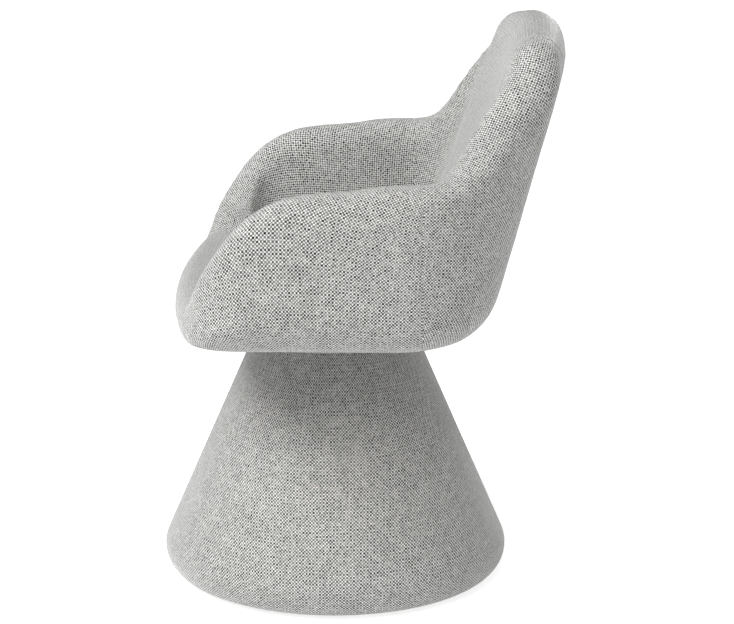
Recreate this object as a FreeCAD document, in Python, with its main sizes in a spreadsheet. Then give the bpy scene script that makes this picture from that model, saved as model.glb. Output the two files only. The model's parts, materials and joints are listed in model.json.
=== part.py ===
import FreeCAD, Part
import math
import os
import re
from types import SimpleNamespace
import Sketcher

Vector = FreeCAD.Vector
doc = FreeCAD.newDocument("SwivelChair")

# Driving sizes in millimetres; angles in degrees; a name that ends in share has no unit
SIZES = {
    # plan of the upholstered tub at its widest
    "half_width": 312,
    "front_reach": 231,
    "rear_reach": 248,
    "front_bow_radius": 1400,
    "rear_bow_radius": 1100,
    "front_corner_radius": 108,
    "rear_corner_radius": 137,
    # heights of the tub, all above its underside
    "underside_height": 399,
    "front_rise": 66,
    "arm_rise": 239,
    "arm_slope_share": 0.1,
    "back_rise": 434.5,
    "back_crown": 14,
    "crown_reach": 150,
    # curve of the arm's front end
    "arm_front_reach": 168,
    "arm_front_drop": 170,
    "arm_fullness_share": 2.38,
    "front_join_softness": 4.2,
    # climb of the rim from the arm to the back, along the rim
    "climb_start": 18,
    "climb_end": 225,
    "climb_power_share": 1.49,
    # walls of the tub
    "arm_thickness": 62,
    "back_thickness": 73,
    "front_thickness": 86,
    "side_under_radius": 57,
    "front_under_radius": 20,
    "rear_under_radius": 100,
    "under_flat": 2,
    "side_lean_share": -0.01,
    "front_lean_share": -0.1,
    "back_lean_share": 0.269,
    "inner_lean_share": 0.33,
    "seat_line_rise": 85,
    "least_inner_face": 3,
    "inner_seam_share": 0.12,
    # fabric, cloth and the gap left between layers
    "cover_thickness": 1.5,
    "cloth_thickness": 0.8,
    "layer_gap": 0.3,
    "hem_reach": 18,
    # seat board
    "seat_board_thickness": 15,
    "board_front_inset": 48,
    "board_front_corner": 100,
    "board_rear_corner": 60,
    "cloth_inset": 6,
    # moulded inner shell
    "shell_thickness": 4,
    "shell_clearance": 1.8,
    "shell_top_share": 0.75,
    "shell_knee_share": 0.22,
    "shell_screw_radius": 2.2,
    "shell_screw_head": 4.2,
    "shell_screw_length": 20,
    # seat cushion
    "cushion_height": 71,
    "cushion_gap": 4,
    "cushion_edge": 16,
    "cushion_crown": 9,
    "cushion_draw": 5,
    "cushion_front_corner_share": 0.215,
    "cushion_rear_corner": 90,
    # swivel
    "swivel_height": 20,
    "plate_thickness": 2.5,
    "plate_radius": 84,
    "race_width": 16,
    "race_gap": 2.4,
    "ball_radius": 4,
    "ball_clearance": 0.1,
    "ball_count": 24,
    "cage_thickness": 1.6,
    "cage_width": 14,
    "plate_bolt_margin": 9,
    "race_head_gap": 2,
    "pin_radius": 6,
    "pin_length": 56,
    "pin_head_radius": 11,
    "pin_head_height": 4,
    "pin_clearance": 0.1,
    "washer_radius": 14,
    "washer_thickness": 2,
    "pin_nut_radius": 10,
    "pin_nut_height": 9,
    # bolts
    "bolt_radius": 4,
    "bolt_clearance": 0.05,
    "bolt_head_radius": 7,
    "bolt_head_height": 4.5,
    "bolt_nut_radius": 7.5,
    "bolt_nut_height": 6.5,
    "bolt_count": 4,
    "tee_flange_radius": 11,
    "tee_flange_thickness": 1.6,
    "tee_barrel_radius": 5.4,
    # plinth
    "cone_angle": 23.5,
    "base_edge_radius": 38,
    "neck_edge_radius": 10,
    "cone_foam_thickness": 8,
    "cone_skin_thickness": 4,
    "top_board_margin": 10,
    "top_board_thickness": 15,
    "base_board_thickness": 18,
    "rim_board_thickness": 12,
    "rim_board_width": 45,
    "ballast_radius": 150,
    "ballast_thickness": 8,
    "ballast_screw_circle": 120,
    "ballast_screw_radius": 2.5,
    "ballast_screw_head": 5,
    "ballast_screw_length": 22,
    "post_bolt_gap": 11,
    "post_wall": 2.5,
    "flange_nut_gap": 3.5,
    "flange_thickness": 6,
    "flange_bolt_margin": 10,
    "foot_bolt_length": 28,
    "rib_thickness": 15,
    "rib_count": 6,
    "rib_head_width": 24,
    "rib_foot_width": 60,
    "floor_ring_thickness": 4,
    "hem_ring_gap": 10,
    "floor_ring_width": 20,
    "base_hem_width": 34,
    # one overrun for every cut
    "overrun": 2,
}

# Steps between the outlines that the tub and the cushion are lofted through
BOW_STEPS = 5
CORNER_STEPS = 6
SIDE_STEPS = 4
REAR_STEPS = 8
BACK_SHARES = (0.15, 0.3, 0.5, 0.75, 1)
BACK_SEAM = 0.3
REAR_SCREW = 0.5
CUSHION_STEPS = 5

# Places worked out from the sizes above
DERIVED = {
    "board_half": "half_width - side_under_radius - shell_thickness - shell_clearance - under_flat",
    "board_front": "board_front_inset - front_reach",
    "board_rear": "rear_reach - rear_under_radius * sqrt(1 + back_lean_share^2) - shell_thickness - under_flat",
    "board_z": "underside_height + cover_thickness + layer_gap",
    "board_top": "board_z + seat_board_thickness",
    "plate_z": "board_z - swivel_height",
    "ball_z": "board_z - swivel_height / 2",
    "flange_z": "plate_z - top_board_thickness",
    "post_top": "flange_z - flange_thickness",
    "base_board_top": "floor_ring_thickness + base_board_thickness",
    "ballast_top": "base_board_top + ballast_thickness",
    "post_foot": "ballast_top + flange_thickness",
    "hem_z": "floor_ring_thickness - layer_gap - cover_thickness",
    "roll_z": "hem_z + base_edge_radius",
    "tangent_z": "roll_z + base_edge_radius * sin(cone_angle * 1deg)",
    "neck_z": "plate_z + layer_gap + cover_thickness",
    "neck_arc_z": "neck_z - neck_edge_radius",
    "top_board_radius": "plate_radius + top_board_margin",
    "foam_depth": "cover_thickness + layer_gap",
    "foam_back": "foam_depth + cone_foam_thickness",
    "skin_depth": "foam_back + layer_gap",
    "skin_back": "skin_depth + cone_skin_thickness",
    "neck_radius": "top_board_radius + layer_gap + skin_back / cos(cone_angle * 1deg)",
    "roll_radius": "neck_radius + (plate_z - tangent_z) * tan(cone_angle * 1deg)"
                   " - base_edge_radius * cos(cone_angle * 1deg)",
    "floor_ring_radius": "roll_radius - base_hem_width - hem_ring_gap",
    "rim_board_z": "tangent_z - rim_board_thickness",
    "lower_race_top": "ball_z - race_gap / 2",
    "upper_race_foot": "ball_z + race_gap / 2",
    "plate_bolt_circle": "plate_radius - plate_bolt_margin",
    "race_radius": "plate_bolt_circle - bolt_head_radius - race_head_gap - race_width / 2",
    "flange_radius": "plate_bolt_circle - bolt_nut_radius - flange_nut_gap",
    "flange_bolt_circle": "flange_radius - flange_bolt_margin",
    "post_radius": "flange_bolt_circle - bolt_head_radius - post_bolt_gap",
    "post_bore": "post_radius - post_wall",
    "race_inside": "race_radius - race_width / 2",
    "race_outside": "race_radius + race_width / 2",
    "groove_radius": "ball_radius + ball_clearance",
    "groove_half": "sqrt(groove_radius^2 - (race_gap / 2)^2)",
    "bolt_hole": "bolt_radius + bolt_clearance",
    "pin_hole": "pin_radius + pin_clearance",
}

sheet = doc.addObject("Spreadsheet::Sheet", "Sizes")
for row, (alias, size) in enumerate(SIZES.items(), 1):
    sheet.set(f"A{row}", alias)
    sheet.set(f"B{row}", str(size))
    sheet.setAlias(f"B{row}", alias)
doc.recompute()


def bound(text):
    """An expression on the sheet, written with the names of sizes and derived places."""
    def swap(word):
        name = word.group(0)
        if name in DERIVED:
            return "(" + bound(DERIVED[name]) + ")"
        return "Sizes." + name if name in SIZES else name
    return re.sub(r"[a-z_]+", swap, text)


def value(text):
    found = sheet.evalExpression(bound(text))
    return float(getattr(found, "Value", found))


# Sketches and features

def plane(body, role):
    return next(o for o in body.Origin.OriginFeatures if o.Role == role)


def new_body(label):
    body = doc.addObject("PartDesign::Body", label)
    body.Label = label
    return body


def new_sketch(body, role, lift="0"):
    sketch = body.newObject("Sketcher::SketchObject", "Outline")
    sketch.AttachmentSupport = [(plane(body, role), "")]
    sketch.MapMode = "FlatFace"
    if lift != "0":
        sketch.setExpression("AttachmentOffset.Base.z", bound(lift))
    return sketch


def bind_point(sketch, edge, end, x, y):
    for kind, text, axis in (("DistanceX", x, -2), ("DistanceY", y, -1)):
        if text == "0":
            sketch.addConstraint(Sketcher.Constraint("PointOnObject", edge, end, axis))
        else:
            index = sketch.addConstraint(Sketcher.Constraint(kind, -1, 1, edge, end, value(text)))
            sketch.setExpression(f"Constraints[{index}]", bound(text))


def draw_profile(sketch, nodes):
    """A closed outline. A node is (x, y), or (x, y, radius, side) where an arc leads to the next node
    with its centre on that side of the way there."""
    points = [Vector(value(node[0]), value(node[1])) for node in nodes]
    geometry = []
    for index, node in enumerate(nodes):
        start, end = points[index], points[(index + 1) % len(nodes)]
        if len(node) == 2:
            geometry.append(Part.LineSegment(start, end))
            continue
        radius = value(node[2])
        side = 1 if node[3] == "left" else -1
        chord = end - start
        normal = Vector(-chord.y, chord.x).normalize() * side
        rise = math.sqrt(max(0, radius ** 2 - chord.Length ** 2 / 4))
        middle = (start + end) * 0.5 + normal * (rise - radius)
        ends = (start, end) if node[3] == "left" else (end, start)
        geometry.append(Part.ArcOfCircle(ends[0], middle, ends[1]))
    sketch.addGeometry(geometry, False)

    def first_end(index):
        return 2 if nodes[index][-1] == "right" else 1

    for index, node in enumerate(nodes):
        after = (index + 1) % len(nodes)
        sketch.addConstraint(
            Sketcher.Constraint("Coincident", index, 3 - first_end(index), after, first_end(after)))
        bind_point(sketch, index, first_end(index), node[0], node[1])
        if len(node) > 2:
            constraint = sketch.addConstraint(Sketcher.Constraint("Radius", index, value(node[2])))
            sketch.setExpression(f"Constraints[{constraint}]", bound(node[2]))


def draw_circle(sketch, x, y, radius):
    index = sketch.addGeometry(Part.Circle(Vector(value(x), value(y)), Vector(0, 0, 1), value(radius)))
    bind_point(sketch, index, 3, x, y)
    constraint = sketch.addConstraint(Sketcher.Constraint("Radius", index, value(radius)))
    sketch.setExpression(f"Constraints[{constraint}]", bound(radius))


def turned(label, nodes):
    """A piece turned about the swivel axis from its half section."""
    body = new_body(label)
    sketch = new_sketch(body, "XZ_Plane")
    draw_profile(sketch, nodes)
    turn = body.newObject("PartDesign::Revolution", "Turning")
    turn.Profile = sketch
    turn.ReferenceAxis = (sketch, ["V_Axis"])
    turn.Angle = 360
    return body


def round_plate(label, radius, foot, top, bore="0"):
    return turned(label, [(bore, foot), (radius, foot), (radius, top), (bore, top)])


def ring_of(body, feature, count):
    """Repeats a feature round the swivel axis."""
    pattern = body.newObject("PartDesign::PolarPattern", "Ring")
    pattern.Originals = [feature]
    pattern.Axis = (plane(body, "Z_Axis"), [""])
    pattern.Angle = 360
    pattern.setExpression("Occurrences", bound(count))
    body.Tip = pattern


def drill(body, radius, top, depth, circle="0", count="bolt_count", angle=0):
    """Holes from the level named top downwards, one on the axis or several on a circle."""
    sketch = new_sketch(body, "XY_Plane", top)
    if circle == "0":
        draw_circle(sketch, "0", "0", radius)
    elif angle == 0:
        draw_circle(sketch, circle, "0", radius)
    else:
        draw_circle(sketch, f"({circle}) * cos({angle}deg)", f"({circle}) * sin({angle}deg)", radius)
    pocket = body.newObject("PartDesign::Pocket", "Hole")
    pocket.Profile = sketch
    pocket.setExpression("Length", bound(depth))
    if circle != "0":
        ring_of(body, pocket, count)


def turned_group(label, circle, nodes, count, angle=0):
    """Equal pieces round a circle, each turned about its own upright axis."""
    body = new_body(label)
    sketch = new_sketch(body, "XZ_Plane")
    draw_profile(sketch, [(f"{circle} + {node[0]}", *node[1:]) for node in nodes])
    start = Vector(value(circle), 0)
    axis = sketch.addGeometry(Part.LineSegment(start, start + Vector(0, value(circle))), True)
    bind_point(sketch, axis, 1, circle, "0")
    bind_point(sketch, axis, 2, circle, circle)
    turn = body.newObject("PartDesign::Revolution", "Turning")
    turn.Profile = sketch
    turn.ReferenceAxis = (sketch, ["Axis0"])
    turn.Angle = 360
    ring_of(body, turn, count)
    body.Placement = FreeCAD.Placement(Vector(), FreeCAD.Rotation(Vector(0, 0, 1), angle))
    return body


# Plinth, swivel and bolts

CONE = "tan(cone_angle * 1deg)"
COSINE = "cos(cone_angle * 1deg)"
SINE = "sin(cone_angle * 1deg)"


def cone_radius(level, depth="0"):
    """Radius of the plinth's cone at a level, at a depth under the outside of its cover."""
    return f"(neck_radius + (plate_z - ({level})) * {CONE} - ({depth}) / {COSINE})"


ROLL_CENTRE = "roll_radius"
NECK_CENTRE = f"({cone_radius('neck_arc_z')} - neck_edge_radius / {COSINE})"
RIM_RADIUS = cone_radius("tangent_z", "skin_depth")


def roll_point(depth):
    """Where the bottom roll meets the cone, at a depth under the cover."""
    reach = f"(base_edge_radius - ({depth}))"
    return f"{ROLL_CENTRE} + {reach} * {COSINE}", f"roll_z + {reach} * {SINE}"


def neck_point(depth):
    reach = f"(neck_edge_radius - ({depth}))"
    return f"{NECK_CENTRE} + {reach} * {COSINE}", f"neck_arc_z + {reach} * {SINE}"


def plinth_fabrics():
    hem = f"{ROLL_CENTRE} - base_hem_width"
    top_hem = "plate_radius + overrun"
    inside = "cover_thickness"
    turned("base_cover", [
        (hem, "hem_z"),
        (ROLL_CENTRE, "hem_z", "base_edge_radius", "left"),
        roll_point("0"),
        (*neck_point("0"), "neck_edge_radius", "left"),
        (NECK_CENTRE, "neck_z"),
        (top_hem, "neck_z"),
        (top_hem, f"neck_z - {inside}"),
        (NECK_CENTRE, f"neck_z - {inside}", f"neck_edge_radius - {inside}", "right"),
        neck_point(inside),
        (*roll_point(inside), f"base_edge_radius - {inside}", "right"),
        (ROLL_CENTRE, f"hem_z + {inside}"),
        (hem, f"hem_z + {inside}"),
    ])
    foam_head = f"plate_z - ({NECK_CENTRE} - neck_radius + foam_back / {COSINE}) / {CONE}"
    turned("cone_foam", [
        roll_point("foam_depth"),
        (*neck_point("foam_depth"), "neck_edge_radius - foam_depth", "left"),
        (NECK_CENTRE, "plate_z"),
        (NECK_CENTRE, foam_head),
        roll_point("foam_back"),
    ])
    under_rim = "rim_board_z - layer_gap"
    turned("edge_roll_foam", [
        (ROLL_CENTRE, "floor_ring_thickness", "base_edge_radius - foam_depth", "left"),
        roll_point("foam_depth"),
        roll_point("foam_back"),
        (f"{RIM_RADIUS} + layer_gap", roll_point("foam_back")[1]),
        (f"{RIM_RADIUS} + layer_gap", under_rim),
        (ROLL_CENTRE, under_rim),
    ])
    cloth_foot = "floor_ring_thickness - cloth_thickness"
    round_plate("base_underside_cloth", "floor_ring_radius - floor_ring_width - overrun",
                cloth_foot, "floor_ring_thickness")


def plinth_frame():
    turned("cone_skin", [
        (cone_radius("tangent_z", "skin_back"), "tangent_z"),
        (cone_radius("tangent_z", "skin_depth"), "tangent_z"),
        (cone_radius("plate_z", "skin_depth"), "plate_z"),
        (cone_radius("plate_z", "skin_back"), "plate_z"),
    ])
    round_plate("base_rim_board", RIM_RADIUS, "rim_board_z", "tangent_z", f"{RIM_RADIUS} - rim_board_width")
    round_plate("floor_ring", "floor_ring_radius", "0", "floor_ring_thickness",
                "floor_ring_radius - floor_ring_width")

    bottom = round_plate("base_bottom_board", f"{ROLL_CENTRE} - layer_gap",
                         "floor_ring_thickness", "base_board_top")
    bolt_depth = "foot_bolt_length - flange_thickness - ballast_thickness + bolt_clearance"
    screw_depth = "ballast_screw_length - ballast_thickness + bolt_clearance"
    drill(bottom, "bolt_hole", "base_board_top", bolt_depth, "flange_bolt_circle")
    drill(bottom, "ballast_screw_radius + bolt_clearance", "base_board_top", screw_depth, "ballast_screw_circle")

    ballast = round_plate("ballast_plate", "ballast_radius", "base_board_top", "ballast_top")
    through = "ballast_thickness + overrun"
    drill(ballast, "bolt_hole", "ballast_top", through, "flange_bolt_circle")
    drill(ballast, "ballast_screw_radius + bolt_clearance", "ballast_top", through, "ballast_screw_circle")

    round_plate("post_tube", "post_radius", "ballast_top", "post_top", "post_bore")
    foot = round_plate("post_foot_flange", "flange_radius", "ballast_top", "post_foot",
                       "post_radius + bolt_clearance")
    drill(foot, "bolt_hole", "post_foot", "flange_thickness + overrun", "flange_bolt_circle")
    head = round_plate("post_head_flange", "flange_radius", "post_top", "flange_z", "pin_hole")
    drill(head, "bolt_hole", "flange_z", "flange_thickness + overrun", "flange_bolt_circle")

    board = round_plate("base_top_board", "top_board_radius", "flange_z", "plate_z", "pin_hole")
    drill(board, "bolt_hole", "plate_z", "top_board_thickness + overrun", "plate_bolt_circle", angle=45)
    sketch = new_sketch(board, "XY_Plane", "flange_z")
    draw_circle(sketch, "flange_bolt_circle", "0", "bolt_hole")
    pocket = board.newObject("PartDesign::Pocket", "ScrewHole")
    pocket.Profile = sketch
    pocket.Reversed = True
    pocket.setExpression("Length", bound("top_board_thickness - bolt_head_height + bolt_clearance"))
    ring_of(board, pocket, "bolt_count")

    ribs = new_body("base_ribs")
    sketch = new_sketch(ribs, "XZ_Plane")
    shoulder = "(tangent_z + layer_gap)"
    inside = "skin_back + layer_gap"
    ring_inside = f"{RIM_RADIUS} - rim_board_width - layer_gap"
    draw_profile(sketch, [
        ("ballast_radius + overrun", "base_board_top"),
        (ring_inside, "base_board_top"),
        (ring_inside, shoulder),
        (cone_radius(shoulder, inside), shoulder),
        (cone_radius("flange_z", inside), "flange_z"),
        (f"{cone_radius('flange_z', inside)} - rib_head_width", "flange_z"),
        (f"{cone_radius(shoulder, inside)} - rib_foot_width", shoulder),
    ])
    pad = ribs.newObject("PartDesign::Pad", "Rib")
    pad.Profile = sketch
    pad.SideType = "Symmetric"
    pad.setExpression("Length", bound("rib_thickness"))
    ring_of(ribs, pad, "rib_count")


def swivel():
    lower = turned("lower_plate", [
        ("pin_hole", "plate_z"),
        ("plate_radius", "plate_z"),
        ("plate_radius", "plate_z + plate_thickness"),
        ("race_outside", "plate_z + plate_thickness"),
        ("race_outside", "lower_race_top"),
        ("race_radius + groove_half", "lower_race_top", "groove_radius", "right"),
        ("race_radius - groove_half", "lower_race_top"),
        ("race_inside", "lower_race_top"),
        ("race_inside", "plate_z + plate_thickness"),
        ("pin_hole", "plate_z + plate_thickness"),
    ])
    drill(lower, "bolt_hole", "plate_z + plate_thickness", "plate_thickness + overrun",
          "plate_bolt_circle", angle=45)
    upper = turned("upper_plate", [
        ("pin_hole", "board_z"),
        ("plate_radius", "board_z"),
        ("plate_radius", "board_z - plate_thickness"),
        ("race_outside", "board_z - plate_thickness"),
        ("race_outside", "upper_race_foot"),
        ("race_radius + groove_half", "upper_race_foot", "groove_radius", "left"),
        ("race_radius - groove_half", "upper_race_foot"),
        ("race_inside", "upper_race_foot"),
        ("race_inside", "board_z - plate_thickness"),
        ("pin_hole", "board_z - plate_thickness"),
    ])
    drill(upper, "bolt_hole", "board_z", "plate_thickness + overrun", "plate_bolt_circle")

    cage = round_plate("ball_cage", "race_radius + cage_width / 2", "ball_z - cage_thickness / 2",
                       "ball_z + cage_thickness / 2", "race_radius - cage_width / 2")
    drill(cage, "ball_radius + ball_clearance", "ball_z + cage_thickness / 2",
          "cage_thickness + overrun", "race_radius", "ball_count")
    turned_group("swivel_balls", "race_radius", [
        ("0", "ball_z - ball_radius", "ball_radius", "left"),
        ("ball_radius", "ball_z", "ball_radius", "left"),
        ("0", "ball_z + ball_radius"),
    ], "ball_count")

    pin_foot = "board_z - pin_length"
    turned("centre_pin", [
        ("0", pin_foot),
        ("pin_radius", pin_foot),
        ("pin_radius", "board_z"),
        ("pin_head_radius", "board_z"),
        ("pin_head_radius", "board_z + pin_head_height"),
        ("0", "board_z + pin_head_height"),
    ])
    washer_foot = "post_top - washer_thickness"
    round_plate("centre_washer", "washer_radius", washer_foot, "post_top", "pin_hole")
    round_plate("centre_nut", "pin_nut_radius", f"{washer_foot} - pin_nut_height", washer_foot,
                "pin_radius + bolt_clearance")


def bolt(label, circle, seat, tip, count="bolt_count", angle=0, shank="bolt_radius", head="bolt_head_radius",
         rise="bolt_head_height"):
    """Bolts round a circle. The head sits on the level named seat and the shank ends at the level named tip."""
    upward = value(tip) > value(seat)
    crown = f"{seat} - {rise}" if upward else f"{seat} + {rise}"
    turned_group(label, circle, [("0", tip), (shank, tip), (shank, seat), (head, seat), (head, crown),
                                 ("0", crown)], count, angle)


def nut(label, circle, foot, angle=0):
    inside = "bolt_radius + bolt_clearance"
    turned_group(label, circle, [(inside, foot), ("bolt_nut_radius", foot),
                                 ("bolt_nut_radius", f"{foot} + bolt_nut_height"),
                                 (inside, f"{foot} + bolt_nut_height")], "bolt_count", angle)


def bolts():
    nut_foot = "flange_z - bolt_nut_height"
    bolt("lower_plate_bolts", "plate_bolt_circle", "plate_z + plate_thickness", f"{nut_foot} - overrun", angle=45)
    nut("lower_plate_nuts", "plate_bolt_circle", nut_foot, angle=45)
    bolt("upper_plate_bolts", "plate_bolt_circle", "board_z - plate_thickness", "board_top")
    barrel_foot = "board_z + bolt_clearance"
    turned_group("tee_nuts", "plate_bolt_circle", [
        ("bolt_hole", barrel_foot),
        ("tee_barrel_radius", barrel_foot),
        ("tee_barrel_radius", "board_top"),
        ("tee_flange_radius", "board_top"),
        ("tee_flange_radius", "board_top + tee_flange_thickness"),
        ("bolt_hole", "board_top + tee_flange_thickness"),
    ], "bolt_count")
    bolt("head_flange_screws", "flange_bolt_circle", "post_top",
         "flange_z + top_board_thickness - bolt_head_height")
    bolt("foot_flange_bolts", "flange_bolt_circle", "post_foot", "post_foot - foot_bolt_length")
    bolt("ballast_screws", "ballast_screw_circle", "ballast_top", "ballast_top - ballast_screw_length",
         shank="ballast_screw_radius", head="ballast_screw_head", rise="ballast_screw_radius")


def draw_board(sketch, inset="0"):
    half, front, rear = f"(board_half - {inset})", f"(board_front + {inset})", f"(board_rear - {inset})"
    nose, heel = f"(board_front_corner - {inset})", f"(board_rear_corner - {inset})"
    draw_profile(sketch, [
        (f"-({half} - {nose})", front),
        (f"{half} - {nose}", front, nose, "left"),
        (half, f"{front} + {nose}"),
        (half, f"{rear} - {heel}", heel, "left"),
        (f"{half} - {heel}", rear),
        (f"-({half} - {heel})", rear, heel, "left"),
        (f"-({half})", f"{rear} - {heel}"),
        (f"-({half})", f"{front} + {nose}", nose, "left"),
    ])


def seat_board():
    board = new_body("seat_board")
    sketch = new_sketch(board, "XY_Plane", "board_z")
    draw_board(sketch)
    pad = board.newObject("PartDesign::Pad", "Board")
    pad.Profile = sketch
    pad.setExpression("Length", bound("seat_board_thickness"))
    through = "seat_board_thickness + overrun"
    drill(board, "washer_radius", "board_top", through)
    drill(board, "tee_barrel_radius + bolt_clearance", "board_top", through, "plate_bolt_circle")
    cloth = new_body("seat_underside_cloth")
    sketch = new_sketch(cloth, "XY_Plane", "underside_height - layer_gap - cloth_thickness")
    draw_board(sketch, "cloth_inset")
    draw_circle(sketch, "0", "0", "plate_radius + overrun")
    pad = cloth.newObject("PartDesign::Pad", "Cloth")
    pad.Profile = sketch
    pad.setExpression("Length", bound("cloth_thickness"))


# Upholstered tub: outlines that stand across the wall, lofted along it

def smooth(share):
    share = min(1, max(0, share))
    return share * share * (3 - 2 * share)


def read_sizes():
    return SimpleNamespace(**{name: value(name) for name in (*SIZES, *DERIVED)})


S = read_sizes()


def half_plan():
    """Stations on the outer outline of the right half, from the middle of the front to the middle of the back.
    x, y, outward x, outward y, zone, share of the zone passed, run past the start of the rear corner."""
    bow, corner = S.front_bow_radius, S.front_corner_radius
    bow_y = bow - S.front_reach
    corner_x = S.half_width - corner
    corner_y = bow_y - math.sqrt((bow - corner) ** 2 - corner_x ** 2)
    joint = math.atan2(corner_x, bow_y - corner_y)
    rear_bow, rear_corner = S.rear_bow_radius, S.rear_corner_radius
    rear_x = S.half_width - rear_corner
    rear_bow_y = S.rear_reach - rear_bow
    rear_y = rear_bow_y + math.sqrt((rear_bow - rear_corner) ** 2 - rear_x ** 2)
    rear_joint = math.atan2(rear_x, rear_y - rear_bow_y)
    found = []
    for step in range(BOW_STEPS + 1):
        share = step / BOW_STEPS
        turn = joint * share
        found.append((bow * math.sin(turn), bow_y - bow * math.cos(turn), math.sin(turn), -math.cos(turn),
                      "bow", share, -corner))
    for step in range(1, CORNER_STEPS + 1):
        share = step / CORNER_STEPS
        turn = joint + (math.pi / 2 - joint) * share
        found.append((corner_x + corner * math.sin(turn), corner_y - corner * math.cos(turn),
                      math.sin(turn), -math.cos(turn), "corner", share, -corner))
    for step in range(1, SIDE_STEPS + 1):
        share = step / SIDE_STEPS
        y = corner_y + (rear_y - corner_y) * share
        found.append((S.half_width, y, 1, 0, "side", share, y - rear_y))
    corner_turn = math.pi / 2 - rear_joint
    for step in range(1, REAR_STEPS + 1):
        share = step / REAR_STEPS
        turn = corner_turn * share
        found.append((rear_x + rear_corner * math.cos(turn), rear_y + rear_corner * math.sin(turn),
                      math.cos(turn), math.sin(turn), "rear corner", share, rear_corner * turn))
    for share in BACK_SHARES:
        turn = rear_joint * (1 - share)
        found.append((rear_bow * math.sin(turn), rear_bow_y + rear_bow * math.cos(turn),
                      math.sin(turn), math.cos(turn), "back", share,
                      rear_corner * corner_turn + rear_bow * rear_joint * share))
    return found


def mirrored(station):
    return (-station[0], station[1], -station[2], *station[3:])


def board_inset(station):
    """How far inside the outline the edge of the seat board lies at a station."""
    x, y, nx, ny = station[:4]

    def outside(depth):
        across, along = abs(x - nx * depth), y - ny * depth
        front = along < (S.board_front + S.board_rear) / 2
        radius = S.board_front_corner if front else S.board_rear_corner
        past_side = across - (S.board_half - radius)
        past_end = (S.board_front - along if front else along - S.board_rear) + radius
        edge = math.hypot(max(past_side, 0), max(past_end, 0)) + min(max(past_side, past_end), 0)
        return edge - radius

    low, high = 0, S.half_width
    for _ in range(40):
        middle = (low + high) / 2
        low, high = (middle, high) if outside(middle) > 0 else (low, middle)
    return low


def rim_height(station, top):
    """Height of the rim: front roll, quarter round of the arm, arm line, then the climb to the back."""
    x, y, _, ny, zone, _, run = station
    arm = S.underside_height + S.arm_rise
    climb = climb_share(run)
    back = S.underside_height + S.back_rise - S.back_crown * (x / S.crown_reach) ** 2
    if run >= 0:
        return arm + (back - arm) * climb
    ridge = y - ny * top
    if ridge > 0:
        return arm + S.arm_slope_share * run + (back - arm) * climb
    peak = arm - S.arm_slope_share * S.arm_front_reach * 2 / 3
    part = max(0, 1 - (-ridge / S.arm_front_reach) ** S.arm_fullness_share)
    height = peak - S.arm_front_drop * (1 - part ** (1 / S.arm_fullness_share))
    front = S.underside_height + S.front_rise
    excess = (height - front) / S.front_join_softness
    return front + S.front_join_softness * (math.log1p(math.exp(excess)) if excess < 30 else excess)


def climb_share(run):
    passed = max(0, (run - S.climb_start) / (S.climb_end - S.climb_start))
    return smooth(passed ** S.climb_power_share)


def wall(station):
    """Radii, leans and levels of the wall at a station."""
    zone, share, run = station[4:]
    fore = 1 if zone == "bow" else 1 - smooth(share) if zone == "corner" else 0
    aft = {"rear corner": smooth(share), "back": 1}.get(zone, 0)
    tilt = {"rear corner": share ** 2, "back": 1}.get(zone, 0)
    arm = S.arm_thickness / 2
    top = arm + (S.front_thickness / 2 - arm) * fore + (S.back_thickness / 2 - arm) * climb_share(run)
    lean = S.side_lean_share + (S.front_lean_share - S.side_lean_share) * fore
    lean += (S.back_lean_share - S.side_lean_share) * tilt
    under = S.side_under_radius + (S.front_under_radius - S.side_under_radius) * fore
    under += (S.rear_under_radius - S.side_under_radius) * aft
    inset = board_inset(station)
    room = inset - S.shell_thickness - S.shell_clearance - S.under_flat
    under = min(under, room * math.cos(math.atan(lean)))
    rim = rim_height(station, top)
    face = S.underside_height + under
    top_level = rim - top
    outer = math.atan(lean)
    inner = math.atan(S.inner_lean_share * tilt)
    return SimpleNamespace(
        inset=inset, rim=rim, outer=outer, inner=inner, top=top, under=under,
        under_centre=(-under / math.cos(outer), face),
        top_centre=((top_level - face) * math.tan(outer) - top / math.cos(outer), top_level),
    )


def polar(centre, radius, angle):
    return centre[0] + radius * math.cos(angle), centre[1] + radius * math.sin(angle)


def inner_face(w, inset):
    """Top of the inner face at an inset, and the point where it turns upright beside the cushion."""
    top = polar(w.top_centre, w.top - inset, math.pi - w.inner)
    level = min(S.underside_height + S.seat_line_rise, w.top_centre[1] - S.least_inner_face)
    return top, (top[0] - (top[1] - level) * math.tan(w.inner), level)


def skin_points(station, inset):
    """Points of the wall's outside at an inset, from the underside over the rim to the inner foot."""
    w = wall(station)
    under, top = w.under - inset, w.top - inset
    down, flank, up, inside = -math.pi / 2, -w.outer, math.pi / 2, math.pi - w.inner
    inner_top, knee = inner_face(w, inset)
    return SimpleNamespace(
        under=polar(w.under_centre, under, down), under_arc=polar(w.under_centre, under, (down + flank) / 2),
        flank=polar(w.under_centre, under, flank), brow=polar(w.top_centre, top, flank),
        brow_arc=polar(w.top_centre, top, (flank + up) / 2), ridge=polar(w.top_centre, top, up),
        ridge_arc=polar(w.top_centre, top, (up + inside) / 2), inner_top=inner_top, knee=knee,
        foot=(knee[0], foot_level(station)), seam=seam_point(inner_top, knee),
    )


def seam_point(inner_top, knee):
    share = S.inner_seam_share
    return tuple(start + (end - start) * share for start, end in zip(inner_top, knee))


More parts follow.
